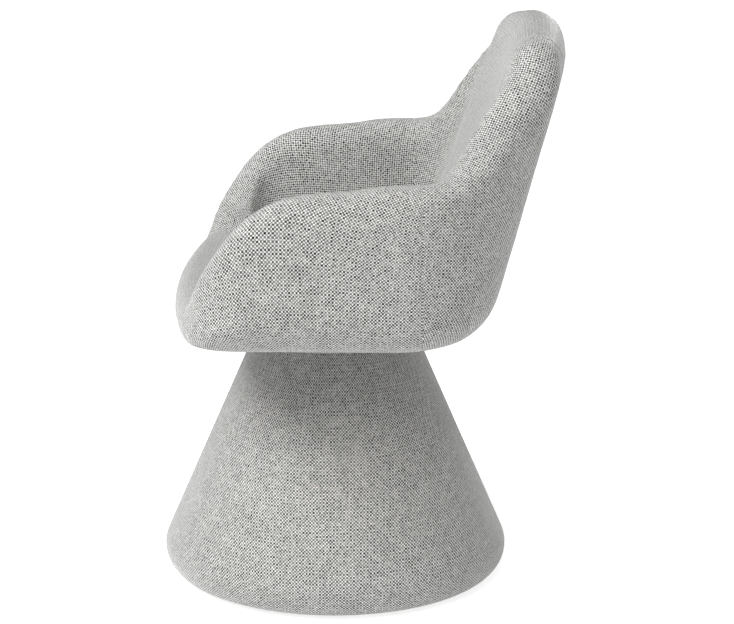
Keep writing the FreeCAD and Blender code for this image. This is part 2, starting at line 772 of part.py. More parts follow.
def shell_line(station):
    """Middle line of the moulded shell's wall, from its bottom edge beside the board to its top edge."""
    w = wall(station)
    side = -w.inset + S.shell_clearance + S.shell_thickness / 2
    bend = S.board_top
    head = w.rim - w.top * S.shell_top_share
    knee = bend + (head - bend) * S.shell_knee_share

    def middle(level):
        outer = (max(level, w.under_centre[1]) - w.under_centre[1]) * math.tan(w.outer)
        inner_top = polar(w.top_centre, w.top, math.pi - w.inner)
        inner = inner_top[0] - (inner_top[1] - level) * math.tan(w.inner)
        return (outer + inner) / 2

    return [(side, S.board_z), (side, bend), (middle(knee), knee), (middle(head), head)]


def foot_level(station):
    """Level where the foam on the inner face ends, on the way from the shell's bend to its knee."""
    bend, knee = shell_line(station)[1:3]
    face = inner_face(wall(station), 0)[1][0]
    clear = face + S.shell_thickness + S.foam_depth + S.under_flat
    share = (clear - bend[0]) / (knee[0] - bend[0]) if abs(knee[0] - bend[0]) > S.under_flat else 0
    return bend[1] + (knee[1] - bend[1]) * min(0.9, max(0.5, share))


def beside(line, distance):
    """An open line moved sideways, with mitred bends; a positive distance is to the left of its way."""
    normals = []
    for start, end in zip(line, line[1:]):
        length = math.hypot(end[0] - start[0], end[1] - start[1])
        normals.append(((start[1] - end[1]) / length, (end[0] - start[0]) / length))
    moved = []
    for index, point in enumerate(line):
        before = normals[max(0, index - 1)]
        after = normals[min(index, len(normals) - 1)]
        scale = distance / (1 + before[0] * after[0] + before[1] * after[1])
        moved.append((point[0] + (before[0] + after[0]) * scale, point[1] + (before[1] + after[1]) * scale))
    return moved


def at_level(line, level):
    for start, end in zip(line, line[1:]):
        if start[1] <= level <= end[1]:
            share = (level - start[1]) / (end[1] - start[1])
            return start[0] + (end[0] - start[0]) * share, level
    return line[-1]


def section(station, nodes):
    """A closed outline across the wall, as the poles of its edges. A node is a point, or two points where an
    arc leads to the next node through the second."""
    x, y, nx, ny = station[:4]

    def place(point):
        return Vector(x + nx * point[0], y + ny * point[0], point[1])

    return outline_poles([tuple(place(point) for point in node) for node in nodes])


def outline_poles(nodes):
    poles = []
    for index, node in enumerate(nodes):
        start, end = node[0], nodes[(index + 1) % len(nodes)][0]
        poles.append(arc_poles(start, node[1], end) if len(node) == 2 else [start, end])
    return poles


def arc_poles(start, through, end):
    """The four poles that follow an arc closely; through is the arc's middle."""
    chord = end - start
    bulge = through - (start + end) * 0.5
    quarter = 2 * bulge.Length / chord.Length
    cosine, sine = (1 - quarter ** 2) / (1 + quarter ** 2), 2 * quarter / (1 + quarter ** 2)
    handle = 4 / 3 * quarter * chord.Length / (2 * sine)
    along, across = chord / chord.Length * (handle * cosine), bulge / bulge.Length * (handle * sine)
    return [start, start + along + across, end - along + across, end]


def end_face(poles):
    edges = []
    for edge in poles:
        curve = Part.BezierCurve()
        curve.setPoles(edge)
        edges.append(curve.toShape())
    return Part.Face(Part.Wire(edges))


def skinned(outlines, places, first=0, last=-1):
    """A closed solid through outlines that stand at places along a way, cut off at the first and the last."""
    faces = [end_face(outlines[first]), end_face(outlines[last])]
    for edge, poles in enumerate(outlines[0]):
        rows = []
        for pole in range(len(poles)):
            row = Part.BSplineCurve()
            row.interpolate(Points=[outline[edge][pole] for outline in outlines], Parameters=places)
            row.segment(places[first], places[last])
            rows.append(row)
        degree = len(rows) - 1
        surface = Part.BSplineSurface()
        surface.buildFromPolesMultsKnots([row.getPoles() for row in rows], [degree + 1] * 2,
                                         rows[0].getMultiplicities(), [0, 1], rows[0].getKnots(),
                                         False, False, degree, rows[0].Degree)
        faces.append(surface.toShape())
    shell = Part.makeShell(faces)
    shell.sewShape()
    solid = Part.makeSolid(Part.makeShell(shell.Faces))
    if solid.Volume < 0:
        solid.reverse()
    return solid


def foam_section(station):
    p = skin_points(station, S.foam_depth)
    line = shell_line(station)
    half = S.shell_thickness / 2 + S.layer_gap
    head = (line[-1][0] - line[-2][0], line[-1][1] - line[-2][1])
    reach = 1 + S.layer_gap / math.hypot(*head)
    line[-1] = (line[-2][0] + head[0] * reach, line[-2][1] + head[1] * reach)
    inner, outer = beside(line, half), beside(line, -half)
    foot = foot_level(station)
    return section(station, [
        ((outer[0][0], p.under[1]),), (p.under, p.under_arc), (p.flank,), (p.brow, p.brow_arc),
        (p.ridge, p.ridge_arc), (p.inner_top,), (p.knee,), (p.foot,),
        (at_level(inner, foot),), (inner[2],), (inner[3],), (outer[3],), (outer[2],), (outer[1],),
    ])


def front_foam_section(station):
    p = skin_points(station, S.foam_depth)
    edge = -wall(station).inset + S.shell_clearance
    on_board = S.board_top + S.layer_gap
    return section(station, [
        ((edge, p.under[1]),), (p.under, p.under_arc), (p.flank,), (p.brow, p.brow_arc),
        (p.ridge, p.ridge_arc), (p.inner_top,), ((p.inner_top[0], on_board),), ((edge, on_board),),
    ])


def shell_section(station):
    line = shell_line(station)
    inner, outer = (beside(line, side * S.shell_thickness / 2) for side in (1, -1))
    return section(station, [(point,) for point in (*outer, *reversed(inner))])


def hem_reach(station):
    corner = {"corner": S.front_corner_radius, "rear corner": S.rear_corner_radius}.get(station[4], S.half_width)
    smallest = min(S.front_corner_radius, S.rear_corner_radius)
    limit = smallest if station[4] == "side" else corner
    return min(wall(station).inset + S.hem_reach, limit - S.overrun)


def cover_section(station, whole=False):
    """The outer cover: hem under the board, outer face, rim and a little of the inner face, or all of it."""
    out, back = skin_points(station, 0), skin_points(station, S.cover_thickness)
    hem = -hem_reach(station)
    ends = (out.foot, back.foot) if whole else (out.seam, back.seam)
    return section(station, [
        ((hem, out.under[1]),), (out.under, out.under_arc), (out.flank,), (out.brow, out.brow_arc),
        (out.ridge, out.ridge_arc), (out.inner_top,), (ends[0],), (ends[1],),
        (back.inner_top, back.ridge_arc), (back.ridge, back.brow_arc), (back.brow,), (back.flank, back.under_arc),
        (back.under,), ((hem, back.under[1]),),
    ])


def inner_section(station):
    out, back = skin_points(station, 0), skin_points(station, S.cover_thickness)
    below = S.layer_gap
    return section(station, [
        ((out.seam[0], out.seam[1] - below),), (out.knee,), (out.foot,),
        (back.foot,), (back.knee,), ((back.seam[0], back.seam[1] - below),),
    ])


def keep(label, shape):
    piece = doc.addObject("Part::Feature", label)
    piece.Label = label
    piece.Shape = shape
    return piece


def lofted(label, loop, outline, first, last):
    places = [0]
    for before, after in zip(loop, loop[1:]):
        places.append(places[-1] + math.hypot(after[0] - before[0], after[1] - before[1]))
    return keep(label, skinned([outline(station) for station in loop], places, first, last))


def tub():
    right = half_plan()
    left = [mirrored(station) for station in right]
    from_front = [*left, *reversed(right[:-1])]
    from_back = [*reversed(right), *left[1:]]
    front = len(right) - 1
    last = len(from_front) - 1
    bow = next(i for i, station in enumerate(right) if station[4] == "corner") - 1
    side = next(i for i, station in enumerate(right) if station[4] == "rear corner") - 1
    seam = next(i for i, station in enumerate(right) if station[4] == "back" and station[5] >= BACK_SEAM)
    lofted("front_roll_foam", from_back, front_foam_section, front - bow, front + bow)
    lofted("front_border_cover", from_back, lambda station: cover_section(station, True), front - bow, front + bow)
    lofted("back_foam", from_front, foam_section, side, last - side)
    lofted("outer_back_cover", from_front, cover_section, seam, last - seam)
    lofted("inner_back_cover", from_front, inner_section, side, last - side)
    lofted("tub_shell", from_front, shell_section, bow, last - bow)
    for name, flip in (("right", False), ("left", True)):
        arm = (last - side, last - bow) if flip else (bow, side)
        wing = (last - seam, last - side) if flip else (side, seam)
        lofted(f"arm_foam_{name}", from_front, foam_section, *arm)
        lofted(f"outer_side_cover_{name}", from_front, cover_section, *arm)
        lofted(f"inner_arm_cover_{name}", from_front, inner_section, *arm)
        lofted(f"back_wing_cover_{name}", from_front, cover_section, *wing)


# Seat cushion

def cushion(grow, foot):
    """The seat cushion grown by a distance, with a crown and rounded edges, skinned from side to side."""
    plan = half_plan()
    fore, aft = plan[0], plan[-1]
    beside_arm = next(station for station in plan if station[4] == "side")
    clear = S.cushion_gap + S.foam_depth - grow
    front_y = fore[1] - skin_points(fore, 0).knee[0] + clear
    rear_y = aft[1] + skin_points(aft, 0).knee[0] - clear
    half = S.half_width + skin_points(beside_arm, 0).knee[0] - clear
    edge = S.cushion_edge + grow
    top = S.board_top + S.cushion_height + grow
    reach = S.cushion_rear_corner + grow
    corner = (rear_y - front_y) * S.cushion_front_corner_share

    def set_back(x, bow_radius, corner):
        past = max(0, abs(x) - (half - corner))
        return x ** 2 / (2 * bow_radius) + corner - math.sqrt(max(0, corner ** 2 - past ** 2))

    def outline(x):
        front = front_y + set_back(x, S.front_bow_radius - S.front_thickness, corner)
        rear = rear_y - set_back(x, S.rear_bow_radius - S.front_thickness, reach)
        drop = edge - math.sqrt(max(0, edge ** 2 - max(0, edge - (half - abs(x))) ** 2))
        crest = top - drop - S.cushion_crown * (x / half) ** 2
        shoulder = crest - S.cushion_crown
        side = shoulder - edge
        bend = edge * (1 - math.sqrt(0.5))
        waist = (foot + side) / 2
        draw = S.cushion_draw
        low = draw / 4

        def spot(y, z):
            return Vector(x, y, z)

        return outline_poles([
            (spot(front + draw, foot),),
            (spot(rear - draw, foot), spot(rear - low, waist)),
            (spot(rear, side), spot(rear - bend, shoulder - bend)),
            (spot(rear - edge, shoulder), spot((front + rear) / 2, crest)),
            (spot(front + edge, shoulder), spot(front + bend, shoulder - bend)),
            (spot(front, side), spot(front + low, waist)),
        ])

    levels = [0]
    for step in range(CUSHION_STEPS + 1):
        x = half - reach * (1 - math.cos(math.pi / 2 * step / CUSHION_STEPS))
        levels += [x, -x]
    levels.sort()
    return skinned([outline(x) for x in levels], [x - levels[0] for x in levels])


def seat():
    foot = S.board_top + S.tee_flange_thickness + S.layer_gap
    keep("seat_foam", cushion(0, foot))
    outer = cushion(S.foam_depth, foot)
    inner = cushion(S.layer_gap, foot - S.overrun)
    keep("seat_cover", outer.cut(inner))


def shell_screws():
    """Screws through the shell's lower wall into the edge of the seat board, and their holes."""
    stations = half_plan()
    side = [station for station in stations if station[4] == "side"]
    rear = next(station for station in stations if station[4] == "back" and station[5] >= REAR_SCREW)
    right = [side[0], side[-2], rear]
    places = [*right, *(mirrored(station) for station in right)]
    screws, holes = [], []
    for x, y, nx, ny, *rest in places:
        station = (x, y, nx, ny, *rest)
        line = shell_line(station)
        level = (S.board_z + S.board_top) / 2
        outside = line[0][0] + S.shell_thickness / 2
        start = Vector(x + nx * outside, y + ny * outside, level)
        way = Vector(-nx, -ny, 0)
        sunk = S.shell_screw_head - S.shell_screw_radius
        for group, slack in ((screws, 0), (holes, S.bolt_clearance)):
            shank = Part.makeCylinder(S.shell_screw_radius + slack, S.shell_screw_length + slack, start, way)
            head = Part.makeCone(S.shell_screw_head + slack, S.shell_screw_radius + slack, sunk, start, way)
            group.append(shank.fuse(head).removeSplitter())
    keep("shell_screws", Part.makeCompound(screws))
    return holes


def finish():
    doc.recompute()
    os.makedirs("parts", exist_ok=True)
    pieces = [o for o in doc.Objects if o.isDerivedFrom("PartDesign::Body") or o.TypeId == "Part::Feature"]
    faulty = [o.Label for o in doc.Objects if "Invalid" in o.State or "Error" in o.State]
    if faulty:
        raise RuntimeError("objects in error: " + ", ".join(faulty))
    for piece in pieces:
        shape = piece.Shape
        if shape.isNull() or not shape.isValid() or shape.Volume <= 0:
            raise RuntimeError(f"{piece.Label} has no sound solid")
        shape.exportStep(f"parts/{piece.Label}.step")
        print(piece.Label, len(shape.Solids), round(shape.Volume / 1000, 1), flush=True)


plinth_fabrics()
plinth_frame()
swivel()
bolts()
seat_board()
tub()
seat()
holes = shell_screws()
doc.recompute()
shell = doc.getObject("tub_shell")
shell.Shape = shell.Shape.cut(holes)
finish()
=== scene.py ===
"""A fully upholstered swivel tub chair: its sewn covers, its finishes, and a plain studio round it."""

import json
import math

import bmesh
import bpy
from mathutils import Matrix, Quaternion, Vector

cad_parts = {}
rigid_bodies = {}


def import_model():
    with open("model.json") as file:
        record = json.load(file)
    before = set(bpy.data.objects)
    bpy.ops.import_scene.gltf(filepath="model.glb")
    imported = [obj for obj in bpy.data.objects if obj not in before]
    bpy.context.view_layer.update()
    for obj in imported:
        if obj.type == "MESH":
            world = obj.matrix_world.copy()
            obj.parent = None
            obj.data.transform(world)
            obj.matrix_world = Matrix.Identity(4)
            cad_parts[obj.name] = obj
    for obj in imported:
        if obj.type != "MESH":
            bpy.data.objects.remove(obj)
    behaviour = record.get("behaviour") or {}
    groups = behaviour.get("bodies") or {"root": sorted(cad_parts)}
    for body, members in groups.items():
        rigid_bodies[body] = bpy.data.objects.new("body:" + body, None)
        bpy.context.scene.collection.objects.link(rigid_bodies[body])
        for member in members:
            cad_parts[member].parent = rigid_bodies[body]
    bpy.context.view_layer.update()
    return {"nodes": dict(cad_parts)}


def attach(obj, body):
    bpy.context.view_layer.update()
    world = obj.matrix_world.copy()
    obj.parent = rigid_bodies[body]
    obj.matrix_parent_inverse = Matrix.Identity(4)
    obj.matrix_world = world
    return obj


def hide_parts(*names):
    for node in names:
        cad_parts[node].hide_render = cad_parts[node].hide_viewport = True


bl_info = {
    "name": "Swivel tub chair",
    "version": (1, 0, 0),
    "blender": (4, 5, 0),
    "location": "View3D > Sidebar > Tub chair",
    "description": "Upholsters and finishes a swivel tub chair on its packed frame",
    "category": "Object",
}

for leftover in list(bpy.data.objects):
    bpy.data.objects.remove(leftover)

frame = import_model()
NODES = frame["nodes"]

MM = 0.001
TUB_FOAMS = ("arm_foam_left", "arm_foam_right", "back_foam", "front_roll_foam")
TUB_COVERS = (
    "front_border_cover", "outer_back_cover", "inner_back_cover",
    "outer_side_cover_left", "outer_side_cover_right", "inner_arm_cover_left", "inner_arm_cover_right",
    "back_wing_cover_left", "back_wing_cover_right",
)
PLINTH_PADDING = ("base_cover", "cone_foam", "edge_roll_foam")

# Where the sewn parts of the tub meet: across the sides, beside the back, and beside the front roll
SIDE_SEAM_Y = 120 * MM
REAR_SEAM = (147 * MM, 238 * MM)
REAR_BOW_RADIUS = 1100 * MM
REAR_SEAM_TURN = math.asin(REAR_SEAM[0] / REAR_BOW_RADIUS)
FRONT_SEAM_X = 220 * MM
SEAM_REACH = 30 * MM
HEM_LEVEL = 402.5 * MM

# Where the drawn-in seams belong: past these places, on faces that don't turn further away than this
SIDE_STARTS_X = 50 * MM
BACK_STARTS_Y = 140 * MM
PLINTH_REAR_STARTS_Y = 50 * MM
LEAST_OUTWARD = -0.2
SIDE_SEAM_DEPTH_SHARE = 0.5

# How the padded skins are made: the levels below which they are held, and the cushion's finer grain
HELD_BELOW_TUB = 405 * MM
HELD_BELOW_CUSHION = 425 * MM
CUSHION_GRAIN_SHARE = 0.8
MERGE_DISTANCE = 0.01 * MM

# The greatest upward part of the normal of an upright wall, and the least one of a level face
UPRIGHT_WALL = 0.3
LEVEL_FACE = 0.7

# The outline of the plinth, from its hem up to the neck
ROLL_RADIUS = 38 * MM
ROLL_CENTRE = (216.3 * MM, 40.2 * MM)
HEM_RADIUS = 182.3 * MM
NECK_EDGE = 10 * MM
NECK_CENTRE = (102.3 * MM, 372.6 * MM)
NECK_HEM = 86 * MM
CONE_LEAN = math.radians(23.5)
COVER_THICKNESS = 1.5 * MM
COVER_DEPTH = 1.8 * MM
ROLL_STEPS = 16
NECK_STEPS = 6
CONE_CUTS = 48
ROUND_STEPS = 180

# The plinth's cloth: how far under the floor its rows are counted from, the least radius that is
# used to lay a turn out flat, and how near the rear seam a corner counts as on its +X side
ROWS_START_BELOW = 0.62
LEAST_RADIUS_LAID_OUT = 0.18
SEAM_ZONE = 10 * MM

# The photo's camera: its picture, the point that it looks at, and where that point lies in the picture
PHOTO_WIDTH, PHOTO_HEIGHT = 734, 624
FOCAL_PIXELS = 2400
AIM_PIXEL = (335.42, 279.52)
AIM_POINT = Vector((0, 0, 0.44))
EYE_RISE = math.radians(13.15)
EYE_TURN = math.radians(-0.58)
EYE_DISTANCE = 3.52

# The studio: where its lamps stand, how wide they are, and the floor
KEY_LAMP_PLACE = Vector((2.0, -3.4, 4.6))
KEY_LAMP_SIZE = 2.4
FILL_LAMP_PLACE = Vector((3.4, -0.4, 4.0))
FILL_LAMP_SIZE = 2.0
FLOOR_HALF_WIDTH = 8
FLOOR_BRIGHTNESS = 0.7


# Sizes and colours that a user would change

class UpholsterySizes(bpy.types.PropertyGroup):
    """Sizes of the sewn and padded pieces"""

    grain: bpy.props.FloatProperty(
        name="Skin grain", description="Width of one patch of the padded skin before it is smoothed",
        default=8.2 * MM, unit="LENGTH")
    pressure: bpy.props.FloatProperty(
        name="Padding pressure", description="How hard the foam pushes against its cover", default=4.0)
    swell: bpy.props.FloatProperty(
        name="Greatest swell", description="How far the cover may stand off the foam's shape",
        default=3 * MM, unit="LENGTH")
    seam_width: bpy.props.FloatProperty(
        name="Seam width", description="Width of the fold on one side of a seam", default=5 * MM,
        unit="LENGTH")
    seam_depth: bpy.props.FloatProperty(
        name="Seam depth", description="How far a seam draws the cover in", default=1.2 * MM, unit="LENGTH")
    cushion_spread: bpy.props.FloatProperty(
        name="Cushion spread", description="How far the seat cushion swells against the arms and the roll",
        default=8 * MM, unit="LENGTH")


class FabricLook(bpy.types.PropertyGroup):
    """Colours and thread sizes of the woven fabric"""

    light_thread: bpy.props.StringProperty(
        name="Light thread", description="Colour of the pale threads", default="e8e8e5")
    # The gap colour is painted shade: it darkens the hollows between the threads as their shadow would
    gap_painted_shade: bpy.props.StringProperty(
        name="Gap between threads", description="Colour down between the threads", default="0c0c0c")
    thread_width: bpy.props.FloatProperty(
        name="Thread float", description="Length of one thread where it passes over", default=2.4 * MM,
        unit="LENGTH")
    row_height: bpy.props.FloatProperty(
        name="Row height", description="Height of one row of the weave", default=2.4 * MM, unit="LENGTH")
    unevenness: bpy.props.FloatProperty(
        name="Unevenness", description="How much deeper every second gap is than its neighbours",
        default=0.3)
    slub_length: bpy.props.FloatProperty(
        name="Slub length", description="Number of threads that a thicker or thinner stretch of yarn lasts",
        default=6.0)


class StudioLook(bpy.types.PropertyGroup):
    """Lamps, floor and backdrop"""

    key_power: bpy.props.FloatProperty(
        name="Key lamp", description="Power of the large lamp in front of the chair", default=250.0,
        subtype="POWER")
    fill_power: bpy.props.FloatProperty(
        name="Fill lamp", description="Power of the lamp above the camera", default=62.0, subtype="POWER")
    daylight: bpy.props.FloatProperty(
        name="Room light", description="Strength of the even light of the room", default=0.37)
    floor_glow: bpy.props.FloatProperty(
        name="Floor light", description="Light that the pale floor adds from below", default=0.22)


# Helpers

def linear(code):
    """A colour written as sRGB hex, as the linear values that a shader takes."""
    parts = [int(code[place:place + 2], 16) / 255 for place in (0, 2, 4)]
    return (*(part / 12.92 if part <= 0.04045 else ((part + 0.055) / 1.055) ** 2.4 for part in parts), 1.0)


def new_piece(name, mesh):
    piece = bpy.data.objects.new(name, mesh)
    bpy.context.scene.collection.objects.link(piece)
    return piece


def piece_from(shape, name):
    mesh = bpy.data.meshes.new(name)
    shape.to_mesh(mesh)
    shape.free()
    return new_piece(name, mesh)


def copied(nodes, name):
    """One piece merged from copies of these solids."""
    shape = bmesh.new()
    for node in nodes:
        shape.from_mesh(NODES[node].data)
    bmesh.ops.remove_doubles(shape, verts=shape.verts, dist=MERGE_DISTANCE)
    return piece_from(shape, name)


def settle(piece):
    """Applies the piece's modifiers to its mesh."""
    bpy.context.view_layer.update()
    graph = bpy.context.evaluated_depsgraph_get()
    old = piece.data
    mesh = bpy.data.meshes.new_from_object(piece.evaluated_get(graph))
    piece.modifiers.clear()
    piece.data = mesh
    bpy.data.meshes.remove(old)


def reshape(piece):
    shape = bmesh.new()
    shape.from_mesh(piece.data)
    return shape


def return_shape(shape, piece):
    shape.to_mesh(piece.data)
    shape.free()


def keep_outer_skin(piece):
    """Drops the small closed bubbles that remeshing leaves inside, and keeps the largest skin."""
    shape = reshape(piece)
    unseen = set(shape.verts)
    skins = []
    while unseen:
        edge_of_skin = [unseen.pop()]
        skin = set(edge_of_skin)
        while edge_of_skin:
            vertex = edge_of_skin.pop()
            for edge in vertex.link_edges:
                other = edge.other_vert(vertex)
                if other not in skin:
                    skin.add(other)
                    unseen.discard(other)
                    edge_of_skin.append(other)
        skins.append(skin)
    largest = max(skins, key=len)
    spare = [vertex for vertex in shape.verts if vertex not in largest]
    bmesh.ops.delete(shape, geom=spare, context="VERTS")
    return_shape(shape, piece)


def skinned(piece, grain, lift):
    """Gives a piece one even skin of square patches that lies on its own surface, lifted a little."""
    core = new_piece(piece.name + "_core", piece.data.copy())
    remesh = piece.modifiers.new("even skin", "REMESH")
    remesh.mode = "VOXEL"
    remesh.voxel_size = grain
    settle(piece)
    keep_outer_skin(piece)
    wrap = piece.modifiers.new("on the foam", "SHRINKWRAP")
    wrap.target = core
    wrap.wrap_method = "NEAREST_SURFACEPOINT"
    wrap.wrap_mode = "OUTSIDE_SURFACE"
    wrap.offset = lift
    settle(piece)
    evened = piece.modifiers.new("evened", "SMOOTH")
    evened.factor = 0.5
    evened.iterations = 3
    settle(piece)
    mesh = core.data
    bpy.data.objects.remove(core)
    bpy.data.meshes.remove(mesh)


def puffed(piece, pressure, swell, held_below, last_frame=20):
    """Lets the padding press the cover out, capped at a greatest swell, with its low edge held."""
    rest = [vertex.co.copy() for vertex in piece.data.vertices]
    held = piece.vertex_groups.new(name="held")
    low = [vertex.index for vertex in piece.data.vertices if vertex.co.z < held_below]
    held.add(low, 1.0, "REPLACE")
    cloth = piece.modifiers.new("padding", "CLOTH")
    cloth.settings.use_pressure = True
    cloth.settings.uniform_pressure_force = pressure
    cloth.settings.effector_weights.gravity = 0
    cloth.settings.vertex_group_mass = held.name
    cloth.settings.quality = 4
    cloth.point_cache.frame_start = 1
    cloth.point_cache.frame_end = last_frame
    for moment in range(1, last_frame + 1):
        bpy.context.scene.frame_set(moment)
    settle(piece)
    bpy.context.scene.frame_set(1)
    for vertex, place in zip(piece.data.vertices, rest):
        move = vertex.co - place
        if move.length > swell:
            move *= swell / move.length
        vertex.co = place + move
    piece.vertex_groups.clear()
    eased = piece.modifiers.new("eased", "SMOOTH")
    eased.factor = 0.5
    eased.iterations = 4
    settle(piece)


def spread(piece, margin):
    """Widens a piece in plan by a margin on every side, so that it presses against its neighbours."""
    shape = reshape(piece)
    for axis in (0, 1):
        places = [vertex.co[axis] for vertex in shape.verts]
        middle = (max(places) + min(places)) / 2
        growth = 1 + 2 * margin / (max(places) - min(places))
        for vertex in shape.verts:
            vertex.co[axis] = middle + (vertex.co[axis] - middle) * growth
    return_shape(shape, piece)


def divided(piece):
    rounded = piece.modifiers.new("rounded", "SUBSURF")
    rounded.levels = 1
    rounded.render_levels = 1
    settle(piece)


def drawn_in(shape, place, across, width, depth, belongs):
    """Draws the skin in along a seam, where a plane cuts the faces that belong to it."""
    for step in (-1, -0.5, 0, 0.5, 1):
        faces = [face for face in shape.faces
                 if abs((face.calc_center_median() - place).dot(across)) < 4 * width and belongs(face)]
        edges = {edge for face in faces for edge in face.edges}
        corners = {vertex for face in faces for vertex in face.verts}
        bmesh.ops.bisect_plane(shape, geom=[*faces, *edges, *corners], dist=MERGE_DISTANCE,
                               plane_co=place + across * (step * width), plane_no=across)
    shape.normal_update()
    for vertex in shape.verts:
        away = abs((vertex.co - place).dot(across))
        if away < width and any(belongs(face) for face in vertex.link_faces):
            vertex.co -= vertex.normal * (depth * math.cos(math.pi / 2 * away / width) ** 2)


def cut_cloth(shape, place, across, belongs):
    """Cuts the faces that belong along a plane, and marks the cut as a seam of the cloth."""
    faces = [face for face in shape.faces if belongs(face.calc_center_median())]
    edges = {edge for face in faces for edge in face.edges}
    corners = {vertex for face in faces for vertex in face.verts}
    cut = bmesh.ops.bisect_plane(shape, geom=[*faces, *edges, *corners], dist=MERGE_DISTANCE,
                                 plane_co=place, plane_no=across)
    for item in cut["geom_cut"]:
        if isinstance(item, bmesh.types.BMEdge):
            item.seam = True


def lay_flat(piece):
    """Lays each sewn part of the skin out flat, as the cloth was cut, in metres and with its rows level."""
    piece.data.uv_layers.active = piece.data.uv_layers.new(name="weave")
    bpy.context.view_layer.objects.active = piece
    bpy.ops.object.mode_set(mode="EDIT")
    bpy.ops.mesh.select_all(action="SELECT")
    bpy.ops.uv.unwrap(method="MINIMUM_STRETCH", iterations=8, margin=0.001)
    bpy.ops.object.mode_set(mode="OBJECT")
    shape = reshape(piece)
    weave = shape.loops.layers.uv["weave"]
    unseen = set(shape.faces)
    while unseen:
        part = [unseen.pop()]
        for face in part:
            for edge in face.edges:
                if not edge.seam:
                    for other in edge.link_faces:
                        if other in unseen:
                            unseen.discard(other)
                            part.append(other)
        rise = Vector((0, 0))
        flat = real = 0
        for face in part:
            real += face.calc_area()
            faces_out = face.normal.xy.dot(face.calc_center_median().xy) > 0
            upright_wall = faces_out and abs(face.normal.z) < UPRIGHT_WALL
            for loop in face.loops:
                after = loop.link_loop_next
                flat += loop[weave].uv.cross(after[weave].uv) / 2
                if upright_wall:
                    rise += (after[weave].uv - loop[weave].uv) * (after.vert.co.z - loop.vert.co.z)
        turn = math.atan2(rise.x, rise.y) if rise.length else 0
        upright = Matrix.Rotation(turn, 2) * math.sqrt(real / abs(flat))
        for face in part:
            for loop in face.loops:
                loop[weave].uv = upright @ loop[weave].uv
    return_shape(shape, piece)


def lay_weave(piece, place_on_cloth):
    """Writes where each corner of each face lies on the flat cloth, in metres."""
    shape = reshape(piece)
    shape.normal_update()
    weave = shape.loops.layers.uv.new("weave")
    for face in shape.faces:
        for loop in face.loops:
            loop[weave].uv = place_on_cloth(loop.vert, face)
    return_shape(shape, piece)


def shade_smooth(piece):
    for face in piece.data.polygons:
        face.use_smooth = True


def dress(piece, material):
    piece.data.materials.clear()
    piece.data.materials.append(material)


# Materials

def add_node(tree, kind, links=None, values=None, **settings):
    """Adds a node with its settings, its input values and the sockets linked into it."""
    node = tree.nodes.new(kind)
    for name, setting in settings.items():
        setattr(node, name, setting)
    for name, value in (values or {}).items():
        node.inputs[name].default_value = value
    for name, socket in (links or {}).items():
        tree.links.new(socket, node.inputs[name])
    return node


def blank_material(name):
    material = bpy.data.materials.get(name)
    if material:
        material.node_tree.nodes.clear()
    else:
        material = bpy.data.materials.new(name)
        material.use_nodes = True
        material.node_tree.nodes.clear()
    return material, material.node_tree


def finish_material(tree, surface):
    add_node(tree, "ShaderNodeOutputMaterial", {"Surface": surface.outputs["BSDF"]})


